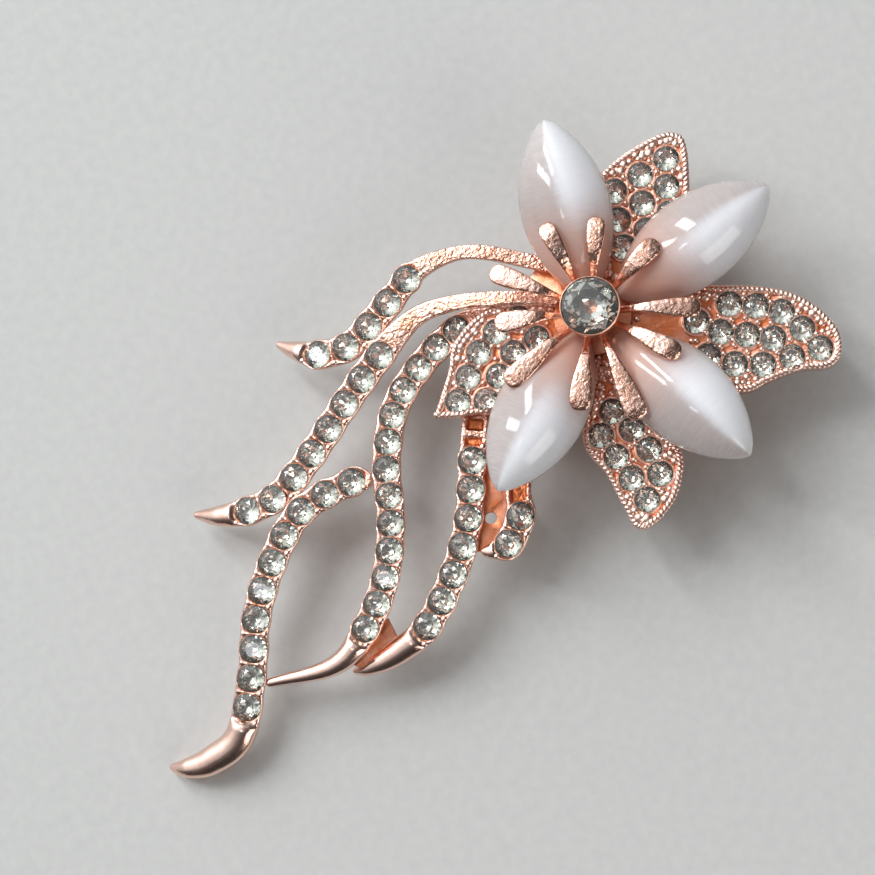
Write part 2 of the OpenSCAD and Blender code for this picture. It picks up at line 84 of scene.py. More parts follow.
# Streamer routes: [x, y, height of the middle, width]
STREAMER_ROUTES = [
    [[0.6, 4.4, 6.5, 1.2], [-1.6, 6.6, 6.5, 1.2], [-4.6, 9.5, 6.6, 1.2], [-7, 10.9, 6.4, 1.2],
     [-10.3, 11.4, 6.1, 1.8], [-13.5, 10.5, 5.6, 2.4], [-18, 9.3, 4.9, 2.4], [-20.8, 10.1, 4.2, 2.3],
     [-22.4, 11.7, 3.4, 1.5], [-23.5, 13.2, 2.8, 0.5]],
    [[-1.6, 2.5, 8.2, 0.9], [-3.5, 4, 8.2, 1], [-6.5, 5.8, 7.8, 1.2], [-9.4, 7.3, 7.2, 1.3],
     [-12.5, 8, 6.5, 1.6], [-16.5, 7, 5.8, 2.4], [-21, 5.2, 5.4, 2.4], [-25.5, 3.2, 5, 2.4],
     [-29.6, 1.8, 4.6, 2.4], [-32.6, 2.1, 3.8, 2.3],
     [-35.1, 3.2, 2.9, 1.7], [-37, 4.6, 2.2, 0.5]],
    [[-5.4, 3.2, 5.2, 2.4], [-8, 5, 5.2, 2.4], [-10, 5.5, 5.2, 2.4], [-14, 4.6, 5.2, 2.4],
     [-17.8, 2.6, 5.2, 2.4], [-20.8, -1, 5.2, 2.4], [-22.7, -4.8, 5.1, 2.4], [-25.5, -8.6, 4.8, 2.4],
     [-29.3, -11.5, 4.3, 2.3], [-33.2, -12.7, 3.8, 1.6], [-38.9, -10.9, 3.3, 0.7]],
    [[-22.5, -1.5, 5.2, 1.6], [-24, -0.7, 5.2, 2.2], [-28.8, -0.5, 5.1, 2.4], [-33.1, -2.8, 4.8, 2.4],
     [-36.6, -5.9, 4.3, 2.4], [-39.4, -9.6, 3.6, 2.4], [-43, -13.3, 2.4, 2.5], [-46.2, -13.8, 1.6, 2.4],
     [-48.5, -13.2, 1, 1.6], [-49.8, -12.3, 0.5, 0.5]],
    [[-5.8, 1, 5.2, 2.2], [-9, 1, 5.2, 2.2], [-11.5, -0.5, 5.2, 2.2], [-14.6, -4.5, 5.2, 2.2],
     [-17.2, -8.2, 5.1, 2.3], [-20.5, -11.4, 4.8, 2.4], [-24.8, -14, 4.2, 2.3], [-28, -14.5, 3.4, 2.1],
     [-30.7, -14.3, 2.8, 1.4], [-32.2, -13.8, 2.4, 0.5]],
    [[-5.8, -2.5, 5.2, 1.8], [-9, -5, 5.2, 1.8], [-12.4, -8.3, 5.2, 2], [-13.6, -10.5, 5.2, 2.4],
     [-15.6, -11.9, 5.1, 2.4], [-17, -11.7, 5, 1.5], [-17.9, -11.2, 5, 0.6]]]
STREAMER_NODES = [f"streamer_{k}" for k in range(1, 6)] + ["curl_sprig"]
STREAMER_STONE_NODES = [f"streamer_stones_{k}" for k in range(1, 6)] + ["curl_stones"]
# Stone rows: [route point of the first stone, route point of the last, count]
STREAMER_STONE_ROWS = [[4.3, 7, 5], [5, 9, 8], [2, 8, 13], [1, 5.5, 10], [3, 6, 7], [3, 4, 2]]

# Outlines of the stone-set petals from the hub to the tip: [one edge, other edge]
PAVE_OUTLINES = [
    [[[2, 2.5], [4.5, 7.5], [6.8, 9.7], [9.6, 10.2], [12.2, 10.1], [13.3, 9.8], [13.9, 9.3]],
     [[13.9, 9.3], [14.1, 8.7], [13.6, 7.2], [12, 4.4], [10.8, 2.5], [7, 0.7], [3, 0.6]]],
    [[[3.4, -0.4], [7, -1], [9.6, -3], [12.3, -4.8], [14.4, -6.7], [15.7, -9], [16.1, -11.3],
      [15.7, -12.7]],
     [[15.7, -12.7], [14.9, -13.5], [13.7, -13.6], [11.7, -12.6], [9.3, -12.1], [6.8, -11.6], [3.5, -8],
      [1.2, -3.4]]],
    [[[-1.6, -3], [-4.8, -6.4], [-6.2, -8.8], [-5.9, -11.5], [-6.1, -14.5], [-6.2, -16.3], [-5.7, -16.9]],
     [[-5.7, -16.9], [-5, -17], [-3.7, -16.8], [-2, -16], [-0.4, -14.4], [0.2, -13], [-0.2, -11.3],
      [-0.7, -9], [-0.4, -6], [0.2, -3]]],
    [[[-2, 2.8], [-4.2, 4.4], [-6.4, 5.2], [-8.6, 5.1], [-10.9, 4.2], [-12.3, 2.6], [-14, 1.1], [-15.3, 0]],
     [[-15.3, 0], [-14.2, -0.8], [-12.9, -1.4], [-11, -2.3], [-9, -3], [-5.5, -3], [-3, -1.6]]]]
# Stone rows on the petals: [route of the row, count]
PAVE_STONE_ROWS = [
    [[[[12, 8], [7, 8]], 3],
     [[[10.8, 6], [6, 5.8]], 3],
     [[[9.8, 4], [5.2, 3.6]], 3]],
    [[[[9.9, -5], [13.1, -7.8], [14.1, -12]], 5],
     [[[6.9, -4.8], [8.1, -6.6], [9.7, -7.9], [11.3, -9.2], [11.8, -11.4]], 5],
     [[[6.2, -7.7], [7.6, -9.4], [9.5, -10.7]], 3]],
    [[[[-4.6, -8.6], [-4.2, -15]], 4],
     [[[-2.8, -7.4], [-1.9, -11], [-2.2, -13.8]], 4]],
    [[[[-5.2, 3.2], [-8.6, 3], [-13, 0]], 5],
     [[[-4.8, 1], [-7.4, 0.9], [-11, -1.2]], 4]]]

# Cat's-eye petals: direction in degrees, distance of the inner end, side with the painted glow (+1 left, -1
# right)
OPALS = [[3, 2.6, -1], [72, 1.5, -1], [211, 1.6, 1], [285, 2.5, 1]]

# Stamens: [direction, distance to the tip, tip width, height of the tip]
STAMENS = [[12, 7.5, 1.7, 12.5], [54, 7.4, 1.5, 12.1], [87, 7.7, 1.5, 12.6], [127, 8.7, 1.7, 11.6],
           [157, 7.8, 1.7, 11.6], [191, 9.1, 1.8, 12], [232, 8.4, 1.8, 11.9], [262, 9.8, 1.9, 11.6],
           [299, 8.2, 1.7, 12.4], [328, 8.8, 1.6, 11.6]]

# --- Curves ---

# Stretches that a curve has between two of its route points
CURVE_STEPS = 16
# Distance before and after a place on a line from which its direction is taken
REACH = 0.2


def curve(points):
    """Smooth curve through the points."""
    p = np.array(points, float)
    q = np.vstack([2 * p[0] - p[1], p, 2 * p[-1] - p[-2]])
    out = []
    for i in range(1, len(p)):
        a, b, c, d = q[i - 1], q[i], q[i + 1], q[i + 2]
        for t in np.arange(CURVE_STEPS) / CURVE_STEPS:
            out.append(0.5 * (2 * b + (c - a) * t + (2 * a - 5 * b + 4 * c - d) * t ** 2
                              + (3 * b - a - 3 * c + d) * t ** 3))
    out.append(p[-1])
    return np.array(out)


def run_lengths(line):
    """Distance run along a line at each of its points."""
    k = min(3, line.shape[1])
    steps = np.linalg.norm(np.diff(line[:, :k], axis=0), axis=1)
    return np.concatenate([[0], np.cumsum(steps)])


def resample(line, places, lengths=None):
    """Points of a line at the given distances along it."""
    if lengths is None:
        lengths = run_lengths(line)
    return np.stack([np.interp(places, lengths, line[:, k]) for k in range(line.shape[1])], axis=1)


def unit(v):
    """Vectors of length 1 in the same directions."""
    return v / np.linalg.norm(v, axis=-1, keepdims=True)


def frames(line):
    """Unit vectors across and up from a line of 3-D points."""
    along = unit(np.gradient(line[:, :3], axis=0))
    side = unit(np.cross(along, [0.0, 0.0, 1.0]))
    return side, np.cross(side, along)


def turned_about_z(angle):
    """Matrix of a turn about Z, for an angle in degrees."""
    a = math.radians(angle)
    return np.array([[math.cos(a), -math.sin(a), 0], [math.sin(a), math.cos(a), 0], [0, 0, 1]])


def smooth_step(low, high, x):
    """0 below low, 1 above high and an S-shaped rise between them."""
    t = np.clip((x - low) / (high - low), 0, 1)
    return t * t * (3 - 2 * t)


# --- Meshes ---


class Shape:
    """Vertices, faces and per-vertex marks of painted shade and glow, gathered from several parts before
    they become a mesh.
    """

    def __init__(self):
        self.points, self.faces, self.mats, self.shade_and_glow = [], [], [], []
        self.count = 0

    def add(self, points, faces, mat=0, shade_and_glow=0.0):
        points = np.asarray(points, float).reshape(-1, 3)
        self.points.append(points)
        self.faces += [tuple(int(i) + self.count for i in f) for f in faces]
        self.mats += list(mat) if isinstance(mat, (list, np.ndarray)) else [mat] * len(faces)
        marks = np.full(len(points), shade_and_glow) if np.isscalar(shade_and_glow) else np.asarray(shade_and_glow, float).ravel()
        self.shade_and_glow.append(marks)
        self.count += len(points)

    def mesh(self, name, materials, smooth):
        places = (np.vstack(self.points) + ORIGIN) * MM
        data = bpy.data.meshes.new(name)
        data.from_pydata(places.tolist(), [], self.faces)
        for m in materials:
            data.materials.append(m)
        data.polygons.foreach_set("material_index", np.array(self.mats, np.int32))
        data.polygons.foreach_set("use_smooth", np.full(len(self.faces), smooth))
        # Painted shade and glow, one value per point, read by the materials
        mark = data.attributes.new("shade_and_glow", "FLOAT", "POINT")
        mark.data.foreach_set("value", np.concatenate(self.shade_and_glow).astype(np.float32))
        data.update()
        return data


def add_object(name, data):
    """Object in the scene that holds a mesh, a light or a camera."""
    obj = bpy.data.objects.new(name, data)
    bpy.context.collection.objects.link(obj)
    return obj


def piece(name, shape, materials, node, smooth=True):
    """Makes the finished object of a shape and ties it to its body and its CAD node."""
    obj = add_object(name, shape.mesh(name, materials, smooth))
    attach(obj, BODY)
    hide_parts(node)
    return obj


def grid_faces(rows, cols, wrap=False):
    """Quads of a grid of rows by cols points; wrap closes each row into a ring."""
    last = cols if wrap else cols - 1
    return [(i * cols + j, i * cols + (j + 1) % cols, (i + 1) * cols + (j + 1) % cols, (i + 1) * cols + j)
            for i in range(rows - 1) for j in range(last)]


def grid_border(rows, cols):
    """Point numbers round the border of a grid, in order."""
    return ([i * cols for i in range(rows)] + [(rows - 1) * cols + j for j in range(1, cols)]
            + [i * cols + cols - 1 for i in range(rows - 2, -1, -1)] + list(range(cols - 2, 0, -1)))


def lathe(profile, segments):
    """Surface from a profile of (radius, height) points turned about Z."""
    profile = np.array(profile, float)
    angles = np.arange(segments) * 2 * math.pi / segments
    rings = [np.stack([r * np.cos(angles), r * np.sin(angles), np.full(segments, z)], 1)
             for r, z in profile]
    return np.vstack(rings), grid_faces(len(profile), segments, wrap=True)


def stand(points, place, axes):
    """Moves points given in a local frame to a place whose axes are (x, y, z) unit vectors."""
    points = np.asarray(points, float)
    return place + points[:, :1] * axes[0] + points[:, 1:2] * axes[1] + points[:, 2:] * axes[2]


UPRIGHT = np.eye(3)


def bead(radius, squash, segments):
    """Round-topped grain of metal whose widest ring lies on height 0."""
    profile = [(radius * math.cos(a), squash * radius * math.sin(a))
               for a in np.linspace(0, math.pi / 2 * 0.97, 5)]
    points, faces = lathe([(radius, -radius)] + profile, segments)
    faces.append(tuple(range(len(points) - segments, len(points))))
    return points, faces


# --- Materials ---


def new_material(name):
    """Empty node material with a Principled shader; returns it, its nodes, its links and the shader."""
    mat = bpy.data.materials.new(name)
    mat.use_nodes = True
    nodes, links = mat.node_tree.nodes, mat.node_tree.links
    nodes.clear()
    out = nodes.new("ShaderNodeOutputMaterial")
    shader = nodes.new("ShaderNodeBsdfPrincipled")
    links.new(shader.outputs["BSDF"], out.inputs["Surface"])
    return mat, nodes, links, shader


def object_coords(nodes, links, stretch=(1, 1, 1)):
    """Object coordinates, stretched along the axes."""
    coord = nodes.new("ShaderNodeTexCoord")
    mapping = nodes.new("ShaderNodeMapping")
    mapping.inputs["Scale"].default_value = stretch
    links.new(coord.outputs["Object"], mapping.inputs["Vector"])
    return mapping.outputs["Vector"]


def noise_of(nodes, links, vector, size_mm, detail):
    """Noise whose lumps measure about size_mm."""
    tex = nodes.new("ShaderNodeTexNoise")
    tex.inputs["Scale"].default_value = 1 / (size_mm * MM)
    tex.inputs["Detail"].default_value = detail
    links.new(vector, tex.inputs["Vector"])
    return tex.outputs["Fac"]


def attribute_of(nodes, name, output="Fac"):
    """A mark that the mesh carries at each point."""
    node = nodes.new("ShaderNodeAttribute")
    node.attribute_name = name
    return node.outputs[output]


def ramp(nodes, links, value, stops):
    """Colour ramp through [(position, colour), ...]."""
    node = nodes.new("ShaderNodeValToRGB")
    elements = node.color_ramp.elements
    while len(elements) < len(stops):
        elements.new(0.5)
    for element, (place, colour) in zip(elements, stops):
        element.position = place
        element.color = (*colour, 1)
    links.new(value, node.inputs["Fac"])
    return node.outputs["Color"]


# Range of most values of a noise
USUAL = (0.3, 0.7)


def spread(nodes, links, value, low, high, from_low=0.0, from_high=1.0):
    """Value stretched from one range to another."""
    node = nodes.new("ShaderNodeMapRange")
    node.inputs["From Min"].default_value = from_low
    node.inputs["From Max"].default_value = from_high
    node.inputs["To Min"].default_value = low
    node.inputs["To Max"].default_value = high
    links.new(value, node.inputs["Value"])
    return node.outputs["Result"]


def total_of(nodes, links, a, b):
    """Sum of two values."""
    node = nodes.new("ShaderNodeMath")
    node.operation = "ADD"
    links.new(a, node.inputs[0])
    links.new(b, node.inputs[1])
    return node.outputs["Value"]


def bump(nodes, links, height, depth_mm, under=None):
    """Bump of the given depth, on top of another bump where one is given."""
    node = nodes.new("ShaderNodeBump")
    node.inputs["Distance"].default_value = depth_mm * MM
    node.inputs["Strength"].default_value = 1.0
    links.new(height, node.inputs["Height"])
    if under is not None:
        links.new(under, node.inputs["Normal"])
    return node.outputs["Normal"]


# Shades of the plate: its own colour on raised places, then painted shade with warm bounced light towards
# the deepest recesses
BRIGHT_GOLD = (0.89, 0.62, 0.52)
WARM_GOLD = (0.80, 0.44, 0.32)
SHADED_COPPER = (0.60, 0.18, 0.07)


def rose_gold(name, hammer_mm, hammer_depth, rough_low, rough_high, fine_depth=0.004, tone=0.0):
    """Rose-gold plate: polished where it is raised, with painted shade (a deeper colour) and more roughness
    in the recesses.

    Hammer blows of a size and depth in millimetres lie under a finer grain; tone shifts the whole
    surface towards the painted-shade colour, and patches vary it from place to place.
    """
    patch_mm, fine_mm, patch_tone, recess_dulling = 1.6, 0.07, 0.22, 0.22
    mat, nodes, links, shader = new_material(name)
    coords = object_coords(nodes, links)
    patches = noise_of(nodes, links, coords, patch_mm, 4.0)
    blows = noise_of(nodes, links, coords, hammer_mm, 1.0)
    fine = noise_of(nodes, links, coords, fine_mm, 2.0)
    # Painted shade: the mark pushes the colour towards the shaded copper of the recesses
    shade_and_glow = attribute_of(nodes, "shade_and_glow")
    shift = spread(nodes, links, patches, tone - patch_tone, tone + patch_tone, *USUAL)
    shade = total_of(nodes, links, shade_and_glow, shift)
    colour = ramp(nodes, links, shade, [(0.0, BRIGHT_GOLD), (0.45, WARM_GOLD), (1.0, SHADED_COPPER)])
    links.new(colour, shader.inputs["Base Color"])
    shader.inputs["Metallic"].default_value = 1.0
    rough = spread(nodes, links, fine, rough_low, rough_high, *USUAL)
    dull = spread(nodes, links, shade_and_glow, 0.0, recess_dulling)
    links.new(total_of(nodes, links, rough, dull), shader.inputs["Roughness"])
    first = bump(nodes, links, blows, hammer_depth)
    links.new(bump(nodes, links, fine, fine_depth, under=first), shader.inputs["Normal"])
    return mat


def steel_wire():
    """Drawn steel: fine lines along the wire."""
    mat, nodes, links, shader = new_material("steel_wire")
    lines = noise_of(nodes, links, object_coords(nodes, links, (1, 0.04, 1)), 0.05, 3.0)
    spots = noise_of(nodes, links, object_coords(nodes, links), 0.8, 3.0)
    links.new(ramp(nodes, links, spots, [(0.3, (0.60, 0.60, 0.62)), (0.7, (0.76, 0.76, 0.77))]),
              shader.inputs["Base Color"])
    shader.inputs["Metallic"].default_value = 1.0
    links.new(spread(nodes, links, lines, 0.14, 0.32, *USUAL), shader.inputs["Roughness"])
    links.new(bump(nodes, links, lines, 0.004), shader.inputs["Normal"])
    return mat


def stone_glass():
    """Clear cut glass with the faintest smears."""
    mat, nodes, links, shader = new_material("stone_glass")
    smears = noise_of(nodes, links, object_coords(nodes, links), 1.1, 3.0)
    links.new(ramp(nodes, links, smears, [(0.35, (0.93, 0.935, 0.90)), (0.65, (0.98, 0.985, 0.965))]),
              shader.inputs["Base Color"])
    shader.inputs["Transmission Weight"].default_value = 0.94
    shader.inputs["IOR"].default_value = 1.62
    links.new(spread(nodes, links, smears, 0.0, 0.03, 0.45, 0.75), shader.inputs["Roughness"])
    return mat


def stone_foil():
    """Silver foil on the back of a stone, slightly tarnished."""
    mat, nodes, links, shader = new_material("stone_foil")
    tarnish = noise_of(nodes, links, object_coords(nodes, links), 0.9, 3.0)
    links.new(ramp(nodes, links, tarnish, [(0.3, (0.86, 0.87, 0.80)), (0.7, (0.97, 0.98, 0.94))]),
              shader.inputs["Base Color"])
    shader.inputs["Metallic"].default_value = 1.0
    links.new(spread(nodes, links, tarnish, 0.03, 0.08, *USUAL), shader.inputs["Roughness"])
    return mat


def cats_eye():
    """Milky cat's-eye: a painted glow as a bright fibrous band on one side of the crest, and a painted
    reflection of the rose gold near the flower's centre.
    """
    mat, nodes, links, shader = new_material("cats_eye")
    grain = attribute_of(nodes, "grain", "Vector")
    fibre_map = nodes.new("ShaderNodeMapping")
    fibre_map.inputs["Scale"].default_value = (6.0, 0.5, 1.0)
    links.new(grain, fibre_map.inputs["Vector"])
    fibres = nodes.new("ShaderNodeTexNoise")
    fibres.inputs["Scale"].default_value = 1.0
    fibres.inputs["Detail"].default_value = 4.0
    links.new(fibre_map.outputs["Vector"], fibres.inputs["Vector"])
    streaks = spread(nodes, links, fibres.outputs["Fac"], -0.05, 0.05, *USUAL)
    glow = total_of(nodes, links, attribute_of(nodes, "shade_and_glow"), streaks)
    # Milky body from the painted dim side to the painted glowing band
    milk = ramp(nodes, links, glow, [(0.0, (0.36, 0.295, 0.275)), (0.35, (0.47, 0.42, 0.405)),
                                     (0.70, (0.69, 0.68, 0.70)), (1.0, (0.82, 0.82, 0.85))])
    # Painted reflection of the rose gold, strongest at the inner end
    gold_reflection = nodes.new("ShaderNodeMix")
    gold_reflection.data_type = "RGBA"
    gold_reflection.inputs["B"].default_value = (0.70, 0.38, 0.29, 1)
    links.new(milk, gold_reflection.inputs["A"])
    links.new(spread(nodes, links, attribute_of(nodes, "reflection_fade"), 0.75, 0.0), gold_reflection.inputs["Factor"])
    links.new(gold_reflection.outputs["Result"], shader.inputs["Base Color"])
    shader.inputs["Subsurface Weight"].default_value = 0.9
    shader.inputs["Subsurface Radius"].default_value = (0.0036, 0.0033, 0.0031)
    shader.inputs["Subsurface Scale"].default_value = 1.0
    shader.inputs["IOR"].default_value = 1.5
    shader.inputs["Coat Weight"].default_value = 0.15
    shader.inputs["Coat Roughness"].default_value = 0.02
    links.new(spread(nodes, links, fibres.outputs["Fac"], 0.06, 0.12, *USUAL), shader.inputs["Roughness"])
    return mat


POLISHED = rose_gold("rose_gold_polished", 1.4, 0.022, 0.14, 0.25)
# Shaded copy of the plate: its tone paints shade over parts that sit low between the petals and streamers
RECESS_SHADED = rose_gold("rose_gold_recess_shaded", 0.5, 0.030, 0.25, 0.40, 0.010, 0.85)
HAMMERED = rose_gold("rose_gold_hammered", 0.22, 0.085, 0.13, 0.25, 0.012, 0.12)
BURNISHED = rose_gold("rose_gold_burnished", 0.28, 0.055, 0.13, 0.24, 0.010, 0.24)
CAST = rose_gold("rose_gold_cast", 0.5, 0.012, 0.22, 0.38, 0.010)
STEEL = steel_wire()
GLASS = stone_glass()
FOIL = stone_foil()
OPAL = cats_eye()

# --- Stones ---

# Radius of a petal's stone, and the largest one of a streamer's
STONE_R = 1.03
WIDEST_STREAMER_STONE = 1.15
# Gap between a stone and the side of its pocket
POCKET_GAP = 0.03
dice = random.Random(7)


def brilliant(r, table=0.56, crown=0.30, depth=0.70):
    """Round brilliant with its girdle on height 0: points, faces and 0 for glass or 1 for foil.

    The table's radius, the heights of crown and pavilion, and the three values below are parts of r.
    """
    mid, low, girdle = 0.80, 0.30, 0.05
    half_facet = math.pi / 8

    def ring(radius, height, count, offset=0.0):
        angles = (np.arange(count) + offset) * 2 * math.pi / count
        flat = [radius * r * np.cos(angles), radius * r * np.sin(angles)]
        return np.stack(flat + [np.full(count, height * r)], 1)

    mid_z = crown * (1 - mid * math.cos(half_facet)) / (1 - table)
    low_z = -depth + (depth - girdle) * low * math.cos(half_facet)
    points = np.vstack([ring(table, crown, 8), ring(mid, mid_z, 8, 0.5), ring(1, 0, 16),
                        ring(1, -girdle, 16), ring(low, low_z, 8, 0.5), [[0, 0, -depth * r]]])
    # First point of each ring: table, bezel facets, upper and lower girdle, pavilion; then the culet
    t, b, g, h, k, culet = 0, 8, 16, 32, 48, 56
    faces, mats = [tuple(range(8))], [0]
    for i in range(8):
        j, back = (i + 1) % 8, (i - 1) % 8
        g0, g1, g2 = 2 * i, 2 * i + 1, (2 * i + 2) % 16
        faces += [(t + i, b + i, t + j), (t + i, b + back, g + g0, b + i),
                  (b + i, g + g0, g + g1), (b + i, g + g1, g + g2)]
        mats += [0] * 4
        faces += [(g + g0, h + g0, h + g1, g + g1), (g + g1, h + g1, h + g2, g + g2)]
        faces += [(k + i, h + g1, h + g0), (k + i, h + g2, h + g1), (culet, k + i, h + g0, k + back)]
        mats += [1] * 5
    return points, faces, mats


def add_stone(shape, r, place, axes):
    """One stone, turned and tipped a little at random so that its facets catch the light differently."""
    tip = math.radians(2.5)
    turn = dice.uniform(0, math.pi / 4)
    spin = (Matrix.Rotation(dice.uniform(-tip, tip), 3, "X")
            @ Matrix.Rotation(dice.uniform(-tip, tip), 3, "Y")
            @ Matrix.Rotation(turn, 3, "Z"))
    points, faces, mats = brilliant(r)
    points = points @ np.array(spin).T
    shape.add(stand(points, place, axes), faces, mats)


def bezel(r):
    """Narrow metal edge of the pocket that a stone sits in."""
    lip = r + 0.015
    outer = r + 0.075
    profile = [(lip, -0.03), (lip + 0.02, 0.01), (outer - 0.03, 0.01), (outer, -0.03), (outer, -0.35),
               (lip, -0.35), (lip, -0.03)]
    return lathe(profile, 40)


# --- Streamers ---

# Mesh of a streamer: distance between its rings, and the points across its top and its underside
RING_STEP = 0.09
TOP_COLUMNS = 33
UNDER_COLUMNS = 15
# Rounding of the long top edges
EDGE_DROP = 0.10
# How the plain stretch before each streamer's first stone is cast
PLAIN_STYLES = ["band", "band", "band", "band", "bridges", "rails"]


def streamer_line(k):
    """Curve of a streamer, the distance run at its points, and the stones' places along it."""
    line = curve(STREAMER_ROUTES[k])
    lengths = run_lengths(line)
    first, last, count = STREAMER_STONE_ROWS[k]
    ends = np.interp([first * CURVE_STEPS, last * CURVE_STEPS], np.arange(len(line)), lengths)
    return line, lengths, np.linspace(ends[0], ends[1], count)


def hammer_marks(points, cell, depth):
    """Small dents, as a height for each point."""
    return np.array([noise.noise(Vector(p) / cell) * depth for p in points])


def plain_relief(style, places, v, width):
    """Height of a streamer's face before its first stone, for each place along it and across it."""
    if style == "band":
        return 0.03 * width[:, None] * (1 - v ** 2)[None, :]
    trough = -0.30 * (1 - smooth_step(0.45, 0.72, np.abs(v)))[None, :] * np.ones((len(places), 1))
    if style == "rails":
        return trough
    bridge_step = 1.5
    bridge = smooth_step(0.15, 0.35, np.abs(np.mod(places / bridge_step, 1) - 0.5) * 2 - 0.3)
    return trough * (1 - bridge)[:, None]


def blunt_ends(places, total, half):
    """Factor that rounds both ends of a streamer as seen from above."""
    left = np.minimum(places, total - places)
    reach = np.minimum(left / np.maximum(half, 0.25), 1)
    return np.sqrt(np.clip(1 - (1 - reach) ** 2, 0.003, 1))


def thickness(width):
    """Thickness of a streamer where it has the given width."""
    return np.minimum(STREAMER_THICK, 0.4 + 0.6 * width)


def half_widths(width, places, stones, stone_r, near, set_part):
    """Half width of each ring, a little more beside each stone and a little less between two."""
    pitch = stones[1] - stones[0]
    half = width / 2 * blunt_ends(places, places[-1], width / 2)
    notch = 0.5 - 0.5 * np.cos(2 * math.pi * (places - stones[0]) / pitch)
    swell = np.clip(stone_r + 0.11 - half, 0, None) * (1 - notch)
    return half * (1 - 0.03 * notch * set_part) + swell * (near < pitch / 2)


def face_height(plain, gap, pocket_r, v, set_part):
    """Height of the top face: the plain relief, the pockets of the stones and the eased edges."""
    pocket = np.where(gap < pocket_r, -0.16 - 0.72 * np.clip(pocket_r - gap, 0, 1), 0.0)
    between = smooth_step(0.0, 0.35, gap - pocket_r)
    pocket = pocket - 0.10 * between * (1 - smooth_step(0.55, 0.75, np.abs(v)))
    height = plain * (1 - set_part[:, None]) + pocket * set_part[:, None]
    return height - EDGE_DROP * smooth_step(0.90, 1.0, np.abs(v))[None, :]


def face_shade(plain, gap, pocket_r, v, set_part, before):
    """Painted shade of the top face: 0 on the raised metal, up to 1 in the recesses."""
    inside = 1 - smooth_step(0.70, 0.86, np.abs(v))[None, :]
    trough = inside * (plain < -0.1) * (1 - set_part[:, None])
    set_recess = np.clip((pocket_r + 0.25 - gap) * 3, 0, 1) * set_part[:, None] * inside
    # Plain stretch painted darker in the middle, leaving a painted highlight along its edges
    band_shade = np.where(before[:, None], 0.35 - 0.35 * smooth_step(0.6, 0.95, np.abs(v))[None, :], 0.0)
    return np.clip(set_recess + trough + band_shade * (1 - set_part[:, None]), 0, 1)


def underside(rows, side, up, half, thick):
    """Points of a streamer's sides and flat underside."""
    w = np.cos(np.linspace(0, math.pi, UNDER_COLUMNS + 2)[1:-1])
    edge = thick / 2 - EDGE_DROP
    depth = (thick - EDGE_DROP)[:, None] * np.sqrt(1 - np.abs(w[None, :]) ** 8)
    return (rows[:, None, :3] + side[:, None] * (half[:, None] * w[None, :])[:, :, None]
            + up[:, None] * (edge[:, None] - depth)[:, :, None])


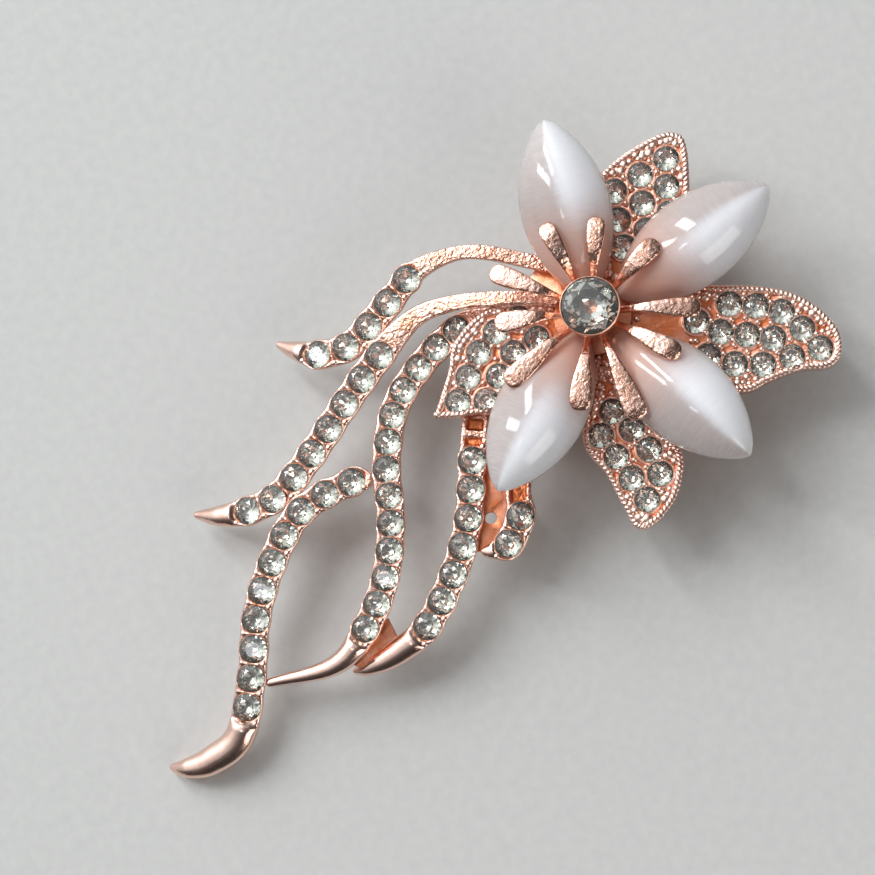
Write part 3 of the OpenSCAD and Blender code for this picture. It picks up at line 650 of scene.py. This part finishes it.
def streamer(k):
    """Cast streamer: a plain hammered stretch, a stone-set stretch and a polished tip."""
    line, lengths, stones = streamer_line(k)
    total = lengths[-1]
    pitch = stones[1] - stones[0]
    places = np.linspace(0, total, int(total / RING_STEP))
    rows = resample(line, places, lengths)
    side, up = frames(rows)
    n = len(rows)

    # Which rings are set with stones, lie before the first stone, or belong to the tip
    near = np.abs(places[:, None] - stones[None, :]).min(1)
    set_part = 1 - smooth_step(1.0, 1.5, near)
    before = places < stones[0]
    tip = smooth_step(stones[-1] + 1.0, stones[-1] + 2.0, places)

    stone_r = min(WIDEST_STREAMER_STONE, pitch / 2 - 0.01)
    pocket_r = stone_r + POCKET_GAP
    half = half_widths(rows[:, 3], places, stones, stone_r, near, set_part)
    thick = thickness(rows[:, 3])

    # Top face: relief of the plain stretches, pockets of the stones, dents of the hammer
    v = np.linspace(-1, 1, TOP_COLUMNS)
    across = half[:, None] * v[None, :]
    gap = np.sqrt((places[:, None, None] - stones[None, None, :]) ** 2 + across[:, :, None] ** 2).min(2)
    full = (0.16 + 0.10 * tip[:, None]) * rows[:, 3:4] * (1 - np.abs(v) ** 2.4)
    plain = np.where(before[:, None], plain_relief(PLAIN_STYLES[k], places, v, rows[:, 3]), full)
    ring = thick[:, None] / 2 + face_height(plain, gap, pocket_r, v, set_part)
    top = rows[:, None, :3] + side[:, None] * across[:, :, None] + up[:, None] * ring[:, :, None]
    dents = hammer_marks(top.reshape(-1, 3), 0.36, 0.03).reshape(n, -1)
    dents = dents * (1 - set_part[:, None]) * (1 - 0.9 * tip[:, None])
    top = top + up[:, None] * dents[:, :, None]

    under = underside(rows, side, up, half, thick)
    # Painted shade: recesses deeper in colour, the underside a little deeper too
    shade_and_glow = np.hstack([face_shade(plain, gap, pocket_r, v, set_part, before),
                      np.full((n, UNDER_COLUMNS), 0.2)])

    # Rings joined into one closed mesh, hammered on top wherever there are no stones
    shape = Shape()
    columns = TOP_COLUMNS + UNDER_COLUMNS
    faces = grid_faces(n, columns, wrap=True)
    middle = (np.arange(n - 1) + 0.5) * total / (n - 1)
    near_mid = np.abs(middle[:, None] - stones[None, :]).min(1)
    plain_row = (near_mid > 1.25) & (middle < stones[-1])
    mats = []
    for hammered in plain_row:
        mats += [1 if hammered else 0] * TOP_COLUMNS + [0] * UNDER_COLUMNS
    faces += [tuple(reversed(range(columns))), tuple(range((n - 1) * columns, n * columns))]
    mats += [0, 0]
    shape.add(np.concatenate([top, under], axis=1), faces, mats, shade_and_glow)

    # Stones with the edges of their pockets, and the ledges between them
    gems = Shape()
    ring_points, ring_faces = bezel(stone_r)
    for s in stones:
        place, axes = seat_on(line, lengths, s)
        add_stone(gems, stone_r, place, axes)
        # Pocket edges carry some painted shade
        shape.add(stand(ring_points, place, axes), ring_faces, 0, 0.4)
    for s in np.append(stones - pitch / 2, stones[-1] + pitch / 2):
        add_ledge(shape, line, lengths, s)
    name = STREAMER_NODES[k]
    piece(name + "_cast", shape, [POLISHED, HAMMERED], name)
    name = STREAMER_STONE_NODES[k]
    piece(name + "_cut", gems, [GLASS, FOIL], name, smooth=False)


def seat_on(line, lengths, s):
    """Place and axes of a stone on a streamer's top face."""
    near = resample(line, np.array([s - REACH, s, s + REACH]), lengths)
    along = unit(near[2, :3] - near[0, :3])
    side = unit(np.cross(along, [0.0, 0.0, 1.0]))
    up = np.cross(side, along)
    return near[1, :3] + up * thickness(near[1, 3]) / 2, np.array([along, -side, up])


def add_ledge(shape, line, lengths, s):
    """Flat ledge between two stones of a streamer, on its outer side."""
    place, axes = seat_on(line, lengths, s)
    half = resample(line, np.array([s]), lengths)[0, 3] / 2
    points, faces = bead(0.28, 0.5, 12)
    spot = place + axes[1] * (half - 0.30)
    shape.add(stand(points * [1.1, 0.9, 1.0], spot, axes), faces, 0, 0.0)


# --- Stone-set petals ---

# Distance from the flower's centre within which a petal carries no grains
BARE_R = 3.4


def pave_stones(k):
    """Middle of each stone on a petal, in the plane."""
    places = []
    for route, count in PAVE_STONE_ROWS[k]:
        line = curve(route)
        lengths = run_lengths(line)
        places += resample(line, np.linspace(0, lengths[-1], count), lengths).tolist()
    return np.array(places)


def grains_between(stones, outline, r):
    """Places of the metal grains that hold the stones, where two or three stones meet."""
    reach, farthest, grain_gap, edge_room = r + 0.18, 3.0, 0.42, 0.55
    spots = []
    for i in range(len(stones)):
        for j in range(i):
            apart = stones[i] - stones[j]
            d = np.linalg.norm(apart)
            if d > farthest:
                continue
            out = math.sqrt(max(reach ** 2 - (d / 2) ** 2, 0.3))
            across = np.array([-apart[1], apart[0]]) / d
            for sign in (-1, 1):
                spot = (stones[i] + stones[j]) / 2 + across * out * sign
                clear = np.linalg.norm(stones - spot, axis=1).min() > r + 0.1
                edge = np.linalg.norm(outline - spot, axis=1).min() > edge_room
                alone = all(np.linalg.norm(spot - s) > grain_gap for s in spots)
                if clear and edge and alone:
                    spots.append(spot)
    return spots


def on_edge(outline, lengths, middle, s):
    """A place on a petal's outline, the direction of the outline there, and the direction inwards."""
    near = resample(outline, np.array([s - REACH, s, s + REACH]), lengths)
    along = unit(near[2] - near[0])
    inward = np.array([-along[1], along[0]])
    if np.dot(middle - near[1], inward) < 0:
        inward = -inward
    return near[1], along, inward


def edge_beads(shape, outline, middle):
    """Rope-like row of slanted beads along a petal's edge."""
    lengths = run_lengths(outline)
    total = lengths[-1]
    rope_step, rope_inset, end_gap = 0.40, 0.25, 0.2
    rope_points, rope_faces = bead(0.20, 0.8, 10)
    count = int(total / rope_step)
    grain_dice = random.Random(count)
    for s in np.linspace(end_gap, total - end_gap, count):
        edge, along, inward = on_edge(outline, lengths, middle, s)
        if np.linalg.norm(edge) < BARE_R:
            continue
        slant = unit(inward + along)
        turned = np.array([[slant[0], slant[1], 0], [-slant[1], slant[0], 0], [0, 0, 1]])
        spot = edge + inward * rope_inset
        swell = grain_dice.uniform(0.85, 1.2)
        place = np.array([*spot, PAVE_TOP - 0.05])
        shape.add(stand(rope_points * [1.7, 1.1 * swell, swell], place, turned), rope_faces, 0, 0.0)


def inner_grains(shape, outline, middle, stones):
    """Looser row of grains inside the rope edge, wherever the stones leave room."""
    lengths = run_lengths(outline)
    grain_dice = random.Random(len(stones))
    for s in np.arange(0.3, lengths[-1], 0.62):
        edge, along, inward = on_edge(outline, lengths, middle, s)
        for depth in (0.66, 1.08):
            r = grain_dice.uniform(0.26, 0.46)
            spot = edge + inward * (depth + grain_dice.uniform(-0.1, 0.1))
            spot = spot + along * grain_dice.uniform(-0.1, 0.1)
            room = np.linalg.norm(stones - spot, axis=1).min() - STONE_R - r
            if np.linalg.norm(spot) < BARE_R or room < -0.10:
                continue
            if np.linalg.norm(outline - spot, axis=1).min() < depth - 0.12:
                continue
            points, faces = bead(r, 0.55, 10)
            # Grains carry a touch of painted shade
            shape.add(points + [spot[0], spot[1], PAVE_TOP - 0.13], faces, 0, 0.05)


def loose_grains(shape, points, edge_gap, stone_gap):
    """Scattered grains wherever a petal has neither stones nor edge grains."""
    tries, grain_gap, edge_room, stone_room = 500, 1.5, 1.45, 0.12
    grain_dice = random.Random(5)
    placed = []
    for i in grain_dice.sample(range(len(points)), tries):
        r = grain_dice.uniform(0.18, 0.30)
        if edge_gap[i] < edge_room or stone_gap[i] < STONE_R + r + stone_room:
            continue
        if np.linalg.norm(points[i]) < BARE_R:
            continue
        if any(np.linalg.norm(points[i] - other) < grain_gap for other in placed):
            continue
        placed.append(points[i])
        bead_points, faces = bead(r, 0.7, 10)
        # Grains carry a touch of painted shade
        shape.add(bead_points + [*points[i], PAVE_TOP - 0.2], faces, 0, 0.1)


def petal_grid(k, rows, cols):
    """Points between a petal's two edges, in the plane, and its outline."""
    left, right = (curve(e) for e in PAVE_OUTLINES[k])
    right = right[::-1]
    t = np.linspace(0, 1, rows)
    left = resample(left, t * run_lengths(left)[-1])
    right = resample(right, t * run_lengths(right)[-1])
    v = np.linspace(0, 1, cols)
    flat = left[:, None] * (1 - v)[None, :, None] + right[:, None] * v[None, :, None]
    return flat.reshape(-1, 2), np.vstack([left, right[::-1]])


def petal_top(points, edge_gap, stone_gap):
    """Top of a petal and its painted shade: pockets with a collar round each, in a rough sunken field."""
    field = -0.22 * smooth_step(0.36, 0.62, edge_gap)
    round_edge = -0.12 * (1 - smooth_step(0.0, 0.14, edge_gap))
    pocket_r = STONE_R + POCKET_GAP
    pocket = np.where(stone_gap < pocket_r, -0.16 - 0.7 * np.clip(pocket_r - stone_gap, 0, 1), 0)
    collar = 0.16 * np.exp(-((stone_gap - pocket_r - 0.10) / 0.09) ** 2) * (stone_gap > pocket_r)
    rough = hammer_marks(np.column_stack([points, np.zeros(len(points))]), 0.24, 0.025)
    z = PAVE_TOP + round_edge + np.where(pocket < 0, pocket, field + collar + rough)
    # Painted shade: the sunken field and the pockets deeper in colour, the raised collars painted lighter
    shade_and_glow = np.clip(0.9 * smooth_step(0.40, 0.62, edge_gap) - 4.0 * collar, 0, 0.9)
    return np.column_stack([points, z]), np.where(stone_gap < pocket_r, 0.9, shade_and_glow)


def pave_petal(k):
    """Cast petal with pockets, grains and a rope edge, and its stones."""
    rows, cols = 150, 96
    points, outline = petal_grid(k, rows, cols)
    stones = pave_stones(k)
    edge_gap = np.min([np.linalg.norm(points - q, axis=1) for q in outline[::2]], axis=0)
    stone_gap = np.linalg.norm(points[:, None] - stones[None], axis=2).min(1)
    top, shade_and_glow = petal_top(points, edge_gap, stone_gap)
    low = np.column_stack([points, np.full(len(points), PAVE_LOW)])

    # Top, underside, and a side wall that bulges a little halfway up
    shape = Shape()
    up_faces = grid_faces(rows, cols)
    shape.add(top, [tuple(reversed(f)) for f in up_faces], 0, shade_and_glow)
    # Underside and side wall carry a little painted shade
    shape.add(low, up_faces, 1, 0.3)
    middle = points.mean(0)
    lap = grid_border(rows, cols)
    belt = (top[lap] + low[lap]) / 2
    belt[:, :2] += unit(belt[:, :2] - middle) * 0.03
    shape.add(np.vstack([top[lap], belt, low[lap]]), grid_faces(3, len(lap), wrap=True), 1, 0.1)

    edge_beads(shape, outline, middle)
    inner_grains(shape, outline, middle, stones)
    loose_grains(shape, points, edge_gap, stone_gap)
    ring_points, ring_faces = bezel(STONE_R)
    gems = Shape()
    for spot in stones:
        place = np.array([spot[0], spot[1], PAVE_TOP])
        add_stone(gems, STONE_R, place, UPRIGHT)
        # Pocket edges with a little painted shade
        shape.add(ring_points + place, ring_faces, 0, 0.2)
    grain_points, grain_faces = bead(0.25, 0.8, 12)
    for spot in grains_between(stones, outline, STONE_R):
        shape.add(grain_points + [spot[0], spot[1], PAVE_TOP - 0.04], grain_faces, 0, 0.0)
    name = f"pave_petal_{k + 1}"
    piece(name + "_cast", shape, [CAST, POLISHED], name)
    name = f"pave_stones_{k + 1}"
    piece(name + "_cut", gems, [GLASS, FOIL], name, smooth=False)


# --- Cat's-eye petals ---


def cabochon(rows, cols):
    """Places along and across a cabochon, and the points of its crown in its own frame."""
    # Outline: two arcs, a little fuller than ones that meet at the ends, cut off by rounded tips
    fullness, tip_round, rim_height = 0.965, 0.5, 0.22
    arc_r = ((OPAL_LEN / 2) ** 2 + (OPAL_W / 2) ** 2) / OPAL_W
    x = -np.cos(np.linspace(0, math.pi, rows)) * OPAL_LEN / 2
    half = np.sqrt(arc_r ** 2 - (fullness * x) ** 2) - (arc_r - OPAL_W / 2)
    tip_gap = np.minimum(1, (OPAL_LEN / 2 - np.abs(x)) / tip_round)
    half = np.maximum(half * np.sqrt(np.clip(1 - (1 - tip_gap) ** 2, 0, 1)), 0.02)

    # Crown, with a crest that grows sharper towards the tips, above a low upright rim
    crown = OPAL_H * (half / (OPAL_W / 2)) ** 0.8
    y = -np.cos(np.linspace(0, math.pi, cols))
    sharp = 1.95 - 0.45 * smooth_step(0.25 * OPAL_LEN, OPAL_LEN / 2, np.abs(x))
    z = crown[:, None] * np.clip(1 - np.abs(y)[None, :] ** sharp[:, None], 0, 1) ** 0.62
    rim = rim_height * np.minimum(1, half)
    z = np.maximum(z, 0) * (1 - rim / np.maximum(crown, 0.3))[:, None] + rim[:, None]
    x = x + OPAL_LEN / 2
    return x, y, np.stack([np.repeat(x[:, None], cols, 1), half[:, None] * y[None, :], z], axis=2)


def cats_eye_petal(k):
    """Crowned cabochon with a painted glowing band beside its crest."""
    angle, start, glow_side = OPALS[k]
    rows, cols = 90, 49
    x, y, crown = cabochon(rows, cols)
    crown = crown.reshape(-1, 3)
    under = crown * [1, 1, 0]
    tilt = np.array([[math.cos(OPAL_TILT), 0, -math.sin(OPAL_TILT)], [0, 1, 0],
                     [math.sin(OPAL_TILT), 0, math.cos(OPAL_TILT)]])

    def set_down(points):
        points = (points + [0, 0, SEAT_THICK]) @ tilt.T + [start, 0, SEAT_Z]
        return points @ turned_about_z(angle).T

    # Painted glow: bright on one side of the crest, growing towards the outer tip
    t = x / OPAL_LEN
    beside = glow_side * y[None, :]
    glow = smooth_step(-0.32, 0.22, beside) * (1 - 0.12 * smooth_step(0.5, 1.0, beside))
    glow = glow * smooth_step(0.15, 0.6, t)[:, None] + 0.30 * smooth_step(0.3, 1.0, t)[:, None]
    glow = glow * 0.75 + 0.18
    shape = Shape()
    up_faces = grid_faces(rows, cols)
    shape.add(set_down(crown), [tuple(reversed(f)) for f in up_faces], 0, np.clip(glow, 0, 1))
    # Underside and walls get a lower painted glow
    shape.add(set_down(under), up_faces, 0, 0.3)
    lap = grid_border(rows, cols)
    walls = np.vstack([set_down(crown)[lap], set_down(under)[lap]])
    shape.add(walls, grid_faces(2, len(lap), wrap=True), 0, 0.4)
    name = f"opal_petal_{k + 1}"
    obj = piece(name + "_cabochon", shape, [OPAL], name)

    # Marks for the material: place in the cabochon's own frame, and distance from the inner end, where the
    # painted reflection of the rose gold is strongest
    grain = np.vstack([crown, under, crown[lap], under[lap]])
    reflection_fade = smooth_step(0.12, 0.62, grain[:, 0] / OPAL_LEN)
    mark = obj.data.attributes.new("grain", "FLOAT_VECTOR", "POINT")
    mark.data.foreach_set("vector", grain.astype(np.float32).ravel())
    mark = obj.data.attributes.new("reflection_fade", "FLOAT", "POINT")
    mark.data.foreach_set("value", reflection_fade.astype(np.float32))
    weld(obj)


def weld(obj):
    """Joins the points that lie on each other, so that the shape closes."""
    mesh = bmesh.new()
    mesh.from_mesh(obj.data)
    bmesh.ops.remove_doubles(mesh, verts=mesh.verts, dist=0.0005 * MM)
    bmesh.ops.recalc_face_normals(mesh, faces=mesh.faces)
    mesh.to_mesh(obj.data)
    mesh.free()


# --- Stamens, cup and centre stone ---


def stamens():
    """Ten hammered stamens: thin at the cup, swelling to a rounded tip."""
    shape = Shape()
    mid_z = STAMEN_Z + 0.3
    rings, columns = 90, 20
    root_half = 0.27
    around = np.linspace(0, 2 * math.pi, columns, endpoint=False)
    for angle, reach, width, tip_z in STAMENS:
        route = [[1.9, 0, mid_z, 0.7], [2.6, 0, mid_z, 0.7], [4.4, 0, (mid_z + tip_z) / 2 + 0.4, 0.9],
                 [reach - 1.4, 0, tip_z, width], [reach - 0.5, 0, tip_z - 0.1, width * 0.9],
                 [reach, 0, tip_z - 0.2, width * 0.4]]
        line = curve(route)
        lengths = run_lengths(line)
        total = lengths[-1]
        s = np.linspace(0, total, rings)
        rows = resample(line, s, lengths)
        left = total - s
        blunt = np.sqrt(np.clip(1 - (1 - np.minimum(left / (width * 0.5), 1)) ** 2, 0.0004, 1))
        grow = root_half + (width / 2 - root_half) * smooth_step(total * 0.12, total - width * 0.75, s)
        half = grow * blunt
        thick = STAMEN_THICK / 2 * np.sqrt(blunt)
        side, up = frames(rows)
        c, d = np.cos(around), np.sin(around)
        flat = np.sign(c) * np.abs(c) ** 0.6
        crown = np.where(d > 0, np.abs(d) ** 0.45 * 1.05, -np.abs(d) ** 0.5)
        points = (rows[:, None, :3] + side[:, None] * (half[:, None] * flat[None, :])[:, :, None]
                  + up[:, None] * (thick[:, None] * crown[None, :])[:, :, None])
        dents = hammer_marks(points.reshape(-1, 3) + [angle, 0, 0], 0.32, 0.028).reshape(rings, -1)
        dents = dents * (d > 0.05)[None, :] * smooth_step(0.1, 0.5, left)[:, None]
        points = points + up[:, None] * dents[:, :, None]
        faces = [tuple(reversed(f)) for f in grid_faces(rings, columns, wrap=True)]
        faces += [tuple(range(columns)), tuple(reversed(range((rings - 1) * columns, rings * columns)))]
        # Side walls and underside painted deeper in colour as painted shade
        mark = np.broadcast_to(np.where(d < 0.1, 0.55, 0.05)[None, :], (rings, columns))
        shape.add(points.reshape(-1, 3) @ turned_about_z(angle).T, faces, 0, mark)
    obj = piece("stamens_hammered", shape, [BURNISHED], "stamen_spray")
    weld(obj)


def centre_setting():
    """Thin cup with a burnished lip, and the faceted stone in it."""
    outer = CENTRE_R + 0.13
    lip = CENTRE_R + 0.02
    crown = 0.32
    girdle = CRYSTAL_TOP - crown * CENTRE_R
    profile = [(0.05, CUP_LOW), (outer - 0.35, CUP_LOW), (outer - 0.08, CUP_LOW + 0.2),
               (outer, CUP_LOW + 0.8), (outer, girdle - 0.05), (outer - 0.03, girdle + 0.02),
               (lip + 0.02, girdle + 0.03), (lip, girdle - 0.02), (lip, girdle - 0.2),
               (CENTRE_R * 0.9, CUP_LOW + 0.4), (0.05, CUP_LOW + 0.3), (0.05, CUP_LOW)]
    points, faces = lathe(profile, 72)
    shape = Shape()
    # The whole cup painted halfway towards the shaded copper as painted shade
    shape.add(points, faces, 0, 0.5)
    piece("centre_cup_turned", shape, [POLISHED], "centre_cup")
    gem = Shape()
    points, faces, mats = brilliant(CENTRE_R, 0.58, crown, 0.60)
    gem.add(points + [0, 0, girdle], faces, mats)
    piece("centre_crystal_cut", gem, [GLASS, FOIL], "centre_crystal", smooth=False)


# --- Plain metal parts, with their edges softened ---


def softened(node, material, bevel, body=BODY):
    """Copy of a CAD node with its edges rounded by bevel, in its place."""
    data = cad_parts[node].data.copy()
    mesh = bmesh.new()
    mesh.from_mesh(data)
    bmesh.ops.remove_doubles(mesh, verts=mesh.verts, dist=0.001 * MM)
    bmesh.ops.dissolve_limit(mesh, angle_limit=math.radians(1), verts=mesh.verts, edges=mesh.edges)
    sharp = [e for e in mesh.edges if e.is_manifold and e.calc_face_angle(0) > math.radians(35)]
    bmesh.ops.bevel(mesh, geom=sharp, offset=bevel * MM, segments=3, profile=0.5, affect="EDGES",
                    clamp_overlap=True)
    mesh.to_mesh(data)
    mesh.free()
    data.materials.clear()
    data.materials.append(material)
    data.shade_smooth()
    data.set_sharp_from_angle(angle=math.radians(40))
    obj = add_object(node + "_soft", data)
    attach(obj, body)
    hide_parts(node)


def metal_parts():
    """Seats, hub, webs, bar, hinge, pin and catch, each a softened copy of its CAD node; seats, hub and
    webs take the plate with painted shade.
    """
    for k in range(len(OPALS)):
        softened(f"opal_seat_{k + 1}", RECESS_SHADED, 0.12)
    for node in ("hub_plate", "streamer_webs"):
        softened(node, RECESS_SHADED, 0.1)
    for node in ("stamen_plate", "pin_bar", "hinge_bracket", "catch_housing"):
        softened(node, CAST, 0.1)
    softened("catch_rotor", POLISHED, 0.08, "catch_barrel")
    softened("hinge_rivet", STEEL, 0.08)
    softened("pin_stem", STEEL, 0.05, "pin")


# --- Floor, light and camera ---

# Angles in degrees, distances in metres
VIEW_AZIMUTH = 10.0
VIEW_ELEVATION = 80.0
VIEW_ROLL = -41.8
VIEW_DISTANCE = 0.2011
VIEW_TARGET = Vector((0.00025, -0.0004, 0.005))
LENS_MM = 100.0
FLOOR_SIDE = 2.4


def camera_axes():
    """Right, up and back of the camera."""
    a, e = math.radians(VIEW_AZIMUTH), math.radians(VIEW_ELEVATION)
    back = Vector((math.sin(a) * math.cos(e), -math.cos(a) * math.cos(e), math.sin(e)))
    right = Vector((math.cos(a), math.sin(a), 0))
    turn = Matrix.Rotation(math.radians(VIEW_ROLL), 3, back)
    right = turn @ right
    return right, back.cross(right), back


def make_camera():
    """Camera at the product's main angle."""
    right, up, back = camera_axes()
    data = bpy.data.cameras.new("camera")
    data.lens = LENS_MM
    data.clip_start = 0.01
    cam = add_object("camera", data)
    turn = Matrix((right, up, back)).transposed().to_4x4()
    cam.matrix_world = Matrix.Translation(VIEW_TARGET + back * VIEW_DISTANCE) @ turn
    bpy.context.scene.camera = cam
    bpy.context.scene.view_settings.view_transform = "Standard"


def add_light(name, direction, distance, size, power, colour, size_y=None):
    """Area light placed by a direction given as right, up and towards the camera."""
    right, up, back = camera_axes()
    towards = (right * direction[0] + up * direction[1] + back * direction[2]).normalized()
    data = bpy.data.lights.new(name, "AREA")
    data.shape = "RECTANGLE"
    data.size, data.size_y = size, size_y or size
    data.energy = power
    data.color = colour
    light = add_object(name, data)
    light.location = VIEW_TARGET + towards * distance
    light.rotation_mode = "QUATERNION"
    light.rotation_quaternion = (-towards).to_track_quat("-Z", "Y")


def studio():
    """Pale floor, a soft sky brighter on one side, a window-like pair of lights, and two weak ones."""
    side = FLOOR_SIDE / 2
    data = bpy.data.meshes.new("floor")
    corners = [(-side, -side, 0), (side, -side, 0), (side, side, 0), (-side, side, 0)]
    data.from_pydata(corners, [], [(0, 1, 2, 3)])
    floor = add_object("floor", data)
    mat, nodes, links, shader = new_material("floor_paper")
    tone = noise_of(nodes, links, object_coords(nodes, links), 0.9, 4.0)
    links.new(ramp(nodes, links, tone, [(0.3, (0.50, 0.50, 0.485)), (0.7, (0.54, 0.54, 0.52))]),
              shader.inputs["Base Color"])
    shader.inputs["Roughness"].default_value = 0.8
    data.materials.append(mat)

    world = bpy.data.worlds.new("studio")
    bpy.context.scene.world = world
    world.use_nodes = True
    nodes, links = world.node_tree.nodes, world.node_tree.links
    nodes.clear()
    coord = nodes.new("ShaderNodeTexCoord")
    dot = nodes.new("ShaderNodeVectorMath")
    dot.operation = "DOT_PRODUCT"
    right, up, back = camera_axes()
    dot.inputs[1].default_value = (-0.62 * right + 0.55 * up + 0.45 * back).normalized()
    links.new(coord.outputs["Generated"], dot.inputs[0])
    sky = ramp(nodes, links, spread(nodes, links, dot.outputs["Value"], 0.0, 1.0, -1.0, 1.0),
               [(0.0, (0.02, 0.02, 0.02)), (0.5, (0.04, 0.036, 0.036)), (0.74, (0.12, 0.12, 0.125)),
                (0.86, (0.60, 0.61, 0.63)), (1.0, (1.6, 1.63, 1.68))])
    back_node = nodes.new("ShaderNodeBackground")
    back_node.inputs["Strength"].default_value = 1.2
    links.new(sky, back_node.inputs["Color"])
    out = nodes.new("ShaderNodeOutputWorld")
    links.new(back_node.outputs["Background"], out.inputs["Surface"])

    add_light("window_left", (-0.80, 0.40, 0.62), 0.55, 0.075, 1.05, (0.95, 0.98, 1.0), 0.34)
    add_light("window_right", (-0.52, 0.68, 0.66), 0.55, 0.075, 1.05, (0.95, 0.98, 1.0), 0.34)
    add_light("overhead", (-0.30, -0.04, 1.0), 0.75, 0.09, 0.14, (0.88, 0.94, 1.0))
    add_light("fill", (0.7, -0.6, 0.8), 0.7, 0.4, 1.4, (1.0, 0.96, 0.92))


for index in range(len(STREAMER_ROUTES)):
    streamer(index)
for index in range(len(PAVE_OUTLINES)):
    pave_petal(index)
for index in range(len(OPALS)):
    cats_eye_petal(index)
stamens()
centre_setting()
metal_parts()
studio()
make_camera()
